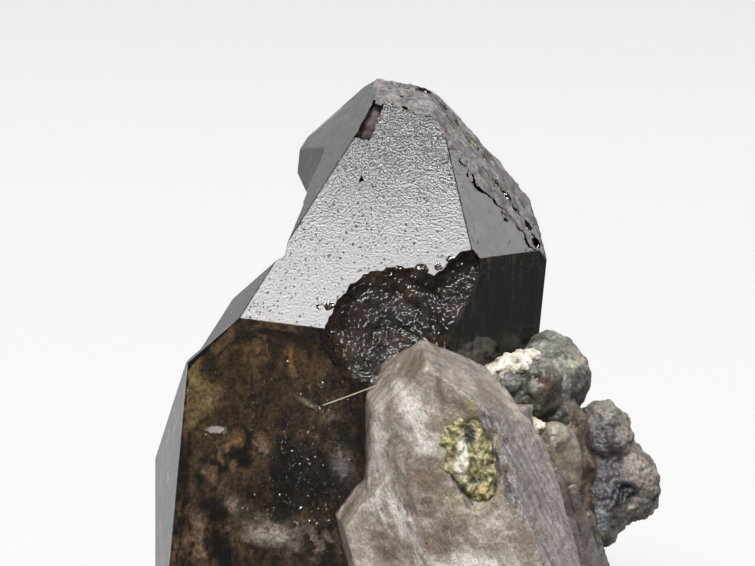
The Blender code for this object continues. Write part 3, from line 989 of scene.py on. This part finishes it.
# Sheets of clouds: (name, face, (left, right, low, high), depth, step, tone, least brightness).
PRISM_CLOUD = (0.4, BACK_TONE, 0.02)
TIP_CLOUD = (0.4, DARK_TONE, 0)
VEILS = (
    ("front_cloud", FRONT, (-22, 12, 0, 62), 1.1, 0.24, front_tone, 0.0),
    ("front_haze", FRONT, (-22, 12, 0, 62), 0.55, 0.24, front_tone, 0.16),
    ("right_streaks", RIGHT, (-14, 20, 0, 66), 0.9, 0.3, STREAKED_TONE, 0.0),
    ("left_cloud", LEFT, (-14, 14, 0, 60), 1.2, *PRISM_CLOUD),
    ("back_cloud_1", BACK_LEFT, (-24, 24, 0, 70), 1.2, *PRISM_CLOUD),
    ("back_cloud_2", BACK, (-26, 26, 0, 70), 1.2, *PRISM_CLOUD),
    ("back_cloud_3", BACK_RIGHT, (-20, 20, 0, 70), 1.2, *PRISM_CLOUD),
    ("back_cloud_4", FAR_RIGHT, (-20, 20, 0, 70), 1.2, *PRISM_CLOUD),
    ("tip_cloud_front", TIP_FRONT, (-20, 20, 30, 75), 1.5, *TIP_CLOUD),
    ("tip_cloud_left", TIP_LEFT, (-30, 30, 15, 75), 2.0, *TIP_CLOUD),
    ("tip_cloud_right", TIP_RIGHT, (-30, 30, 15, 75), 1.8, *TIP_CLOUD),
    ("tip_cloud_back", TIP_BACK, (-30, 30, 15, 75), 3.0, 0.5, DARK_TONE, 0.0),
    ("tip_cloud_lobe", LOBE_SIDE, (-16, 16, 50, 85), 0.9, *TIP_CLOUD),
    ("lobe_cloud_front", LOBE_FRONT, (-25, 25, 56, 76), 0.9, *TIP_CLOUD),
)


def veil(name, face, sides, depth, step, tone, least, material):
    """A wavy, broken sheet of inclusions behind a face: sides are its extents across and up."""
    normal = main_normal(*face[:2])
    across = Vector((0, 0, 1)).cross(normal).normalized()
    up = normal.cross(across)
    start = Vector(AXIS_FOOT) + normal * (face[2] - depth)
    left, right, low, high = sides
    columns = int((right - left) / step)
    rows = int((high - low) / step)
    mesh_data = bmesh.new()
    bmesh.ops.create_grid(mesh_data, x_segments=columns, y_segments=rows, size=0.5)
    layer = mesh_data.verts.layers.float_color.new("tone")
    gone = []
    for vertex in mesh_data.verts:
        u = left + (vertex.co.x + 0.5) * (right - left)
        v = low + (vertex.co.y + 0.5) * (high - low)
        place = start + across * u + up * v
        if not inside_main(place, VEIL_GAP + VEIL_WAVE) or place.z < VEIL_FOOT:
            gone.append(vertex)
            continue
        colour = tone(place)
        place += normal * VEIL_WAVE * swell(place, 2.4, 3)
        vertex[layer] = (*colour, 1.0)
        vertex.co = place * MM
        if max(colour) < least:
            gone.append(vertex)
    bmesh.ops.delete(mesh_data, geom=gone, context="VERTS")
    piece(new_object(name, mesh_data, True), material)


def broken_cloud(number, material):
    """A shell of dark brown clouds just under one hollow of the broken corner."""
    centre, radii, turn = FRACTURE_HOLLOWS[number - 1]
    others = [hollow for hollow in FRACTURE_HOLLOWS if hollow[0] != centre]
    wider = [radius + BROKEN_DEPTH for radius in radii]
    mesh_data = pebble(centre, wider, turn, BROKEN_SKIN, 6)
    layer = mesh_data.verts.layers.float_color.new("tone")
    gone = [vertex for vertex in mesh_data.verts if not inside_main(vertex.co / MM, 0.3, others)]
    for vertex in mesh_data.verts:
        vertex[layer] = (*BROKEN_TONE(vertex.co / MM), 1.0)
    bmesh.ops.delete(mesh_data, geom=gone, context="VERTS")
    piece(new_object(f"broken_cloud_{number}", mesh_data, True), material)


def inner_marks():
    """Clouds and glints just behind the crystal's faces."""
    paint = veil_paint()
    for name, face, sides, depth, step, tone, least in VEILS:
        veil(name, face, sides, depth, step, tone, least, paint)
    for number in range(1, len(FRACTURE_HOLLOWS) + 1):
        broken_cloud(number, paint)
    chance = random.Random(PLACE_SEED)
    chip = scattered(chance, *WHITE_CHIP, WHITE_CHIP_DEPTH)
    chip_paint = mark_paint("white_chip", (0.95, 0.93, 0.92), 0.6)
    flakes("white_chip", chip, WHITE_CHIP_FLAKE, 0.5, chip_paint, WHITE_CHIP_SEED)
    glints = []
    for spark in SPARKS:
        places = scattered(chance, *spark, SPARK_DEPTH)
        glints += [place for place in places if inside_main(place, 0.1) and place.z > 1.0]
    glint_paint = mark_paint("glint", (0.95, 0.93, 0.9), 0.25, 1.0)
    flakes("glints", glints, SPARK_FLAKE, 0.6, glint_paint, SPARK_SEED)


# Worn skin

SKIN_LIFT = 0.1
SKIN_BOTTOM = 58.0
SKIN_VOXEL = 0.26
SKIN_LAYERS = ((0.22, 1.8, 4), (0.09, 0.6, 3))
SKIN_FACES = (TIP_WORN, WORN_SHOULDER, TOP_FRONT, TOP_RIGHT)


def on_worn_faces(place):
    """Whether a point of the skin lies over the worn faces, inside their uneven edge."""
    local = place - Vector(AXIS_FOOT)
    excess = [normal.dot(local) - distance for normal, distance in MAIN_PLANES]
    nearest = max(value for value, face in zip(excess, MAIN_FACES) if face in SKIN_FACES)
    margin = 0.42 + 0.45 * swell(place, 1.8, 3)
    hollow = any(in_ellipsoid(place, centre, radii, 1.2) for centre, radii in WORN_HOLLOWS)
    return nearest >= max(excess) - margin and place.z >= SKIN_BOTTOM + 0.6 and not hollow


def worn_skin():
    """The rough, frosted skin over the worn faces at the top right of the tip."""
    block = main_block([shifted(face, SKIN_LIFT) for face in MAIN_FACES])
    keep_above(block, SKIN_BOTTOM)
    body = fused(new_object("worn_skin", block), SKIN_VOXEL, 2, SKIN_LAYERS)
    mesh_data = bmesh_of(body)
    gone = [vertex for vertex in mesh_data.verts if not on_worn_faces(vertex.co / MM)]
    drop(body, mesh_data, gone).data.shade_smooth()
    piece(body, stone_paint("worn_quartz", WORN, 1.6, 0.4, 0.2, WORN_SPOTS, bright=1.25))


# Side crystal

# Faces of the side crystal and its heel: (azimuth, slope, distance from the centre).
SIDE_CENTRE = (7, -15, 40)
SIDE_FLANK = (55, 20.6, 9.96)
SIDE_FACES = (
    (-10, 6, 8.14),
    (0, 50, 13.2),
    (-75, 43.3, 12.01),
    (-85, 0.7, 11.06),
    (-45, -5.2, 9.6),
    (75, 56.1, 9),
    SIDE_FLANK,
    (100, 33.3, 9.53),
    (100, 17.2, 10.58),
    (100, 12.2, 11.32),
    (180, 45, 11.4),
    (180, 0, 8),
)
SIDE_HEEL_FACES = (
    (-15, 4, 6.9),
    (-80, 35.9, 6.3),
    (-80, -13.5, 16.12),
    (60, 0, 4.5),
    (180, 0, 9),
    (0, 90, 4),
)
SIDE_VOXEL = 0.3
SIDE_SKIN = ((0.2, 4.5, 4), (0.12, 1.2, 3), (0.05, 0.5, 2))
POCKET_CENTRE = (8.8, -24, 40.5)
POCKET_RADII = (3.4, 3, 6)
POCKET_TURN = (0, -12, 0)
POCKET_SKIN = ((0.9, 2, 4),)


def side_crystal():
    """The weathered milky crystal in front, with its heel and its pocket."""
    body = new_object("side_crystal", grounded_block(SIDE_FACES, SIDE_CENTRE))
    boolean(body, grounded_block(SIDE_HEEL_FACES, SIDE_CENTRE), "UNION")
    pocket = pebble(POCKET_CENTRE, POCKET_RADII, POCKET_TURN, POCKET_SKIN, 5)
    boolean(body, pocket, smooth=True)
    trim(fused(body, SIDE_VOXEL, 1, SIDE_SKIN))
    facing = face_normal(*SIDE_FLANK[:2])
    shares = [clamp(vertex.normal.dot(facing) * 8.0 - 6.1) for vertex in body.data.vertices]
    body.data.attributes.new("flank", "FLOAT", "POINT").data.foreach_set("value", shares)
    piece(body, milky_paint())


# Growths

# The lumps of each mass: (centre, radii, turn, height and pitch of the unevenness).
LUMPS = {
    "knob": (
        ((20.8, 6, 43.9), (4.5, 4.8, 5.6), (0, 12, 0), 0.5, 3.6),
        ((19.5, 6.5, 47), (3.6, 4, 3.9), (0, 20, 0), 0.3, 3.6),
        ((16.8, -1, 44.2), (4.1, 3.8, 3.8), (0, 0, 0), 0.5, 2.8),
        ((18.6, 3, 40.2), (4.3, 5.4, 5.8), (0, 0, 0), 0.8, 3),
        ((18.2, -3, 46), (2.6, 2.2, 2.9), (0, 30, 0), 0.3, 2.4),
        ((14.5, -3.6, 46.2), (1.8, 1.5, 1.5), (0, 0, 0), 0.3, 1.4),
    ),
    "tongue": (((20.4, -4.5, 35.8), (3.3, 2.6, 5.6), (0, -8, 0), 0.25, 4),),
    "cream": (
        ((13.6, -1.8, 47.7), (5.4, 2.6, 1.2), (0, -17, 30), 0.7, 1.4),
        ((17.4, -5.2, 40.6), (1.3, 0.9, 1.3), (0, 30, 0), 0.3, 1),
    ),
    "druse": (
        ((27.2, 7, 36.1), (4, 4.6, 5.2), (0, 0, 0), 0.7, 2.4),
        ((30.1, 7, 30), (4.6, 5.2, 5.6), (0, 0, 0), 0.7, 2.4),
        ((26.2, 4.6, 28.4), (4.6, 4.9, 6.3), (0, 0, 0), 0.7, 2.4),
        ((24.8, 10.6, 32.6), (4.6, 4.4, 7.4), (0, 20, 0), 0.8, 2.6),
    ),
    "bridge": (((20.3, 3, 30), (5.8, 7.2, 14), (0, 0, 0), 0.9, 4),),
}

# Zones of colour on the growths: (colour, (centre, radii)).
KNOB_ZONES = (
    ((0.14, 0.085, 0.06), ((19, -4, 45.2), (1.2, 3, 2.4))),
    ((0.1, 0.075, 0.08), ((23.4, 2.5, 44.2), (1.9, 5, 3))),
    ((0.05, 0.055, 0.03), ((20, -2, 41.4), (3, 4, 1.7))),
    ((0.6, 0.55, 0.4), ((23.2, 3, 47.4), (1.6, 4, 0.6))),
)
DRUSE_ZONES = (
    ((0.1, 0.088, 0.096), ((26.8, 2, 32.8), (3, 8, 6.8))),
    ((0.025, 0.025, 0.035), ((29.4, 2, 30.2), (2.4, 8, 1.8))),
    ((0.3, 0.32, 0.34), ((26.3, 1.5, 26.9), (1.3, 8, 1.9))),
)
POCKET_ZONES = (
    ((0.8, 0.77, 0.62), ((7.5, -22.6, 41), (0.8, 3, 2.8))),
    ((0.05, 0.045, 0.02), ((8.5, -22.6, 44), (0.7, 3, 1.3))),
    ((0.05, 0.05, 0.03), ((9, -22.6, 38.3), (0.8, 3, 0.5))),
    ((0.12, 0.13, 0.05), ((6.9, -22.6, 36.9), (1.6, 3, 1.5))),
    ((0.7, 0.52, 0.22), ((10.3, -22.6, 37.3), (0.8, 3, 0.8))),
)
CRUST_CENTRE = (8.7, -21.8, 40.6)
CRUST_RADII = (3.9, 1.5, 6.5)
CRUST_LAYERS = ((0.7, 1.5, 4), (0.25, 0.5, 3))

# The foot: (azimuth, slope, distance from the centre), then its voxel and roughness.
ROOT_CENTRE = (15.5, -2.5, 0)
ROOT_FACES = (
    (0, 6, 10),
    (52, 13, 12.6),
    (84, 20, 13.6),
    (118, 9, 13),
    (160, 12, 13.5),
    (-70, 6, 15),
    (100, 56, 21.5),
    (35, 62, 22.5),
    (-30, 80, 24),
)
ROOT_VOXEL = 0.5
ROOT_LAYERS = ((1, 5, 4),)

# The thin crystals: (foot, tip, radius at the foot, radius at the tip).
BLADES = (
    ((27.9, -9.7, 0), (19.6, -9, 36.4), 3.4, 0.9),
    ((29.8, -5.9, 0), (22, -5.8, 33.4), 4, 0.9),
    ((30.4, -1.8, 0), (24.3, -1.8, 28.6), 4, 1),
)
BLADE_VOXEL = 0.3
BLADE_LAYERS = ((0.08, 2.5, 3),)

FIBRE_RADIUS = 0.08
FIBRE_COLOUR = (0.42, 0.37, 0.25)
FIBRE_POINTS = ((-9.6, -11.75, 45.1), (-7.6, -12.1, 45.9), (-5.2, -12.5, 46.9), (-3, -13.2, 47.9))


def mass(name, voxel, layers, paint):
    """The lumps that belong together, melted into one rough skin."""
    mesh_data = bmesh.new()
    for centre, radii, turn, height, pitch in LUMPS[name]:
        lump = bpy.data.meshes.new("lump")
        part = pebble(centre, radii, turn, ((height, pitch, 4),), 5)
        part.to_mesh(lump)
        part.free()
        mesh_data.from_mesh(lump)
        bpy.data.meshes.remove(lump)
    piece(trim(fused(new_object(name, mesh_data), voxel, 1, layers)), paint)


def blade(name, foot, tip, foot_radius, tip_radius, paint):
    """A thin six-sided crystal that narrows upwards."""
    start = metres(foot)
    along = metres(tip) - start
    ends = {"radius1": foot_radius * MM, "radius2": tip_radius * MM, "depth": along.length}
    block = bmesh.new()
    bmesh.ops.create_cone(block, cap_ends=True, segments=6, **ends)
    spin = along.to_track_quat("Z", "Y").to_matrix()
    for vertex in block.verts:
        vertex.co = spin @ vertex.co + start + along / 2
    piece(fused(new_object(name, block), BLADE_VOXEL, 1, BLADE_LAYERS), paint)


def growths():
    """The knobs, crusts, thin crystals and the broken foot."""
    brown = stone_paint("brown_stone", BROWN, 2.4, 0.35, 0.2, BROWN_SPOTS, bright=1.3)
    knob = stone_paint("knob_quartz", GREY, 2.2, 0.38, 0.15, zones=KNOB_ZONES, bright=0.9)
    olive = stone_paint("olive_stone", OLIVE, 2.8, 0.4, 0.1, bright=1.25)
    cream = stone_paint("cream_crust", CREAM, 1.2, 0.6, 0.25, bright=1.2)
    drusy = stone_paint("drusy_quartz", DRUSY, 2.0, 0.3, 0.3, zones=DRUSE_ZONES, bright=1.1)
    yellow = stone_paint("yellow_crust", MOSS, 1.1, 0.55, 0.3, zones=POCKET_ZONES, bright=1.25)
    mauve = stone_paint("mauve_quartz", MAUVE, 3.0, 0.35, 0.12)
    mass("knob", 0.26, ((0.5, 3.2, 4), (0.12, 0.9, 3)), knob)
    mass("tongue", 0.26, ((0.12, 2.0, 4),), olive)
    mass("cream", 0.18, ((0.35, 1.2, 4), (0.15, 0.5, 2)), cream)
    mass("druse", 0.22, ((0.25, 1.7, 3), (0.18, 0.6, 2)), drusy)
    mass("bridge", 0.4, ((0.3, 2.5, 4),), brown)
    crust = pebble(CRUST_CENTRE, CRUST_RADII, POCKET_TURN, CRUST_LAYERS, 6)
    piece(new_object("pocket_crust", crust, True), yellow)
    root = new_object("root", grounded_block(ROOT_FACES, ROOT_CENTRE))
    piece(trim(fused(root, ROOT_VOXEL, 2, ROOT_LAYERS)), brown)
    for number, (foot, tip, foot_radius, tip_radius) in enumerate(BLADES, start=1):
        blade(f"blade_{number}", foot, tip, foot_radius, tip_radius, mauve)


def fibre():
    """The thin yellow fibre that lies across the front."""
    curve = bpy.data.curves.new("fibre", "CURVE")
    curve.dimensions = "3D"
    curve.bevel_depth = FIBRE_RADIUS * MM
    curve.bevel_resolution = 2
    spline = curve.splines.new("POLY")
    spline.points.add(len(FIBRE_POINTS) - 1)
    for point, place in zip(spline.points, FIBRE_POINTS):
        point.co = (*metres(place), 1.0)
    piece(show("fibre", curve), mark_paint("yellow_fibre", FIBRE_COLOUR, 0.5))


# Surroundings

CAMERA_PLACE = (-2.8, -356.25, 123.98)
CAMERA_TARGET = (-2.8, -12, 60.8)
CAMERA_LENS = 133.5
CAMERA_NEAR = 10.0

# Lights: (name, direction from the target, (width, height) in metres, radiance).
LIGHTS = (
    ("window", (-0.0758, -0.5394, 0.8387), (5, 3.19), 25),
    ("right_back", (0.76, 0.49, 0.43), (3.5, 3.5), 2.6),
    ("high_back", (-0.1, 0.7, 0.66), (7.3, 3.7), 1.7),
)
LIGHT_TARGET = (0, 0, 45)
LIGHT_DISTANCE = 7500.0

FLOOR_REACH = 6000.0
FLOOR_COLOURS = ((0.4, 0.4, 0.396), (0.42, 0.42, 0.416))

# The room: its brightness below and above the horizon, and a pale glow low at the back left.
ROOM_COLOUR = (0.96, 0.98, 1)
ROOM_BELOW = 0.22
ROOM_ABOVE = 0.40
HORIZON = (-0.05, 0.15)
GLOW = 1.35
GLOW_SIDE = (-0.66, 0.75, -0.15)
GLOW_EDGE = (0.7, 0.93)


def area_light(name, toward, size, radiance):
    """A soft light that faces the target."""
    data = bpy.data.lights.new(name, "AREA")
    data.shape = "RECTANGLE"
    data.size, data.size_y = size
    data.energy = radiance * math.pi * data.size * data.size_y
    thing = show(name, data)
    direction = Vector(toward).normalized()
    thing.location = metres(LIGHT_TARGET) + direction * LIGHT_DISTANCE * MM
    thing.rotation_euler = direction.to_track_quat("Z", "Y").to_euler()


def floor():
    """The pale table top."""
    mesh_data = bmesh.new()
    bmesh.ops.create_grid(mesh_data, x_segments=1, y_segments=1, size=FLOOR_REACH * MM)
    thing = new_object("floor", mesh_data)
    paint = Paint("pale_floor", Roughness=0.9, Specular_IOR_Level=0.1)
    paint.set(Base_Color=paint.blend(paint.noise(1.4, 3.0, 0.6), *FLOOR_COLOURS))
    thing.data.materials.append(paint.material)
    thing.visible_glossy = False


def sky():
    """A soft grey room."""
    world = bpy.data.worlds.new("studio")
    bpy.context.scene.world = world
    world.use_nodes = True
    nodes = Nodes(world.node_tree)
    way = nodes.node("ShaderNodeTexCoord", "Generated", {})
    height = nodes.node("ShaderNodeSeparateXYZ", "Z", {"Vector": way})
    level = nodes.span(height, *HORIZON, ROOM_BELOW, ROOM_ABOVE, ease="LINEAR")
    facing = nodes.vector("DOT_PRODUCT", "Value", way, Vector(GLOW_SIDE).normalized())
    glow = nodes.span(facing, *GLOW_EDGE, 0.0, GLOW)
    background = world.node_tree.nodes["Background"]
    nodes.feed(background.inputs["Strength"], level + glow)
    nodes.feed(background.inputs["Color"], ROOM_COLOUR)


def camera():
    """The camera that sees the group as the photograph does."""
    data = bpy.data.cameras.new("camera")
    data.lens = CAMERA_LENS
    data.clip_start = CAMERA_NEAR * MM
    thing = show("camera", data)
    thing.location = metres(CAMERA_PLACE)
    aim = metres(CAMERA_PLACE) - metres(CAMERA_TARGET)
    thing.rotation_euler = aim.to_track_quat("Z", "Y").to_euler()
    bpy.context.scene.camera = thing
    bpy.context.scene.view_settings.view_transform = "Standard"


def surroundings():
    """Floor, lights, room and camera."""
    floor()
    for light in LIGHTS:
        area_light(*light)
    sky()
    camera()


surroundings()
main_crystal()
inner_marks()
worn_skin()
side_crystal()
growths()
fibre()
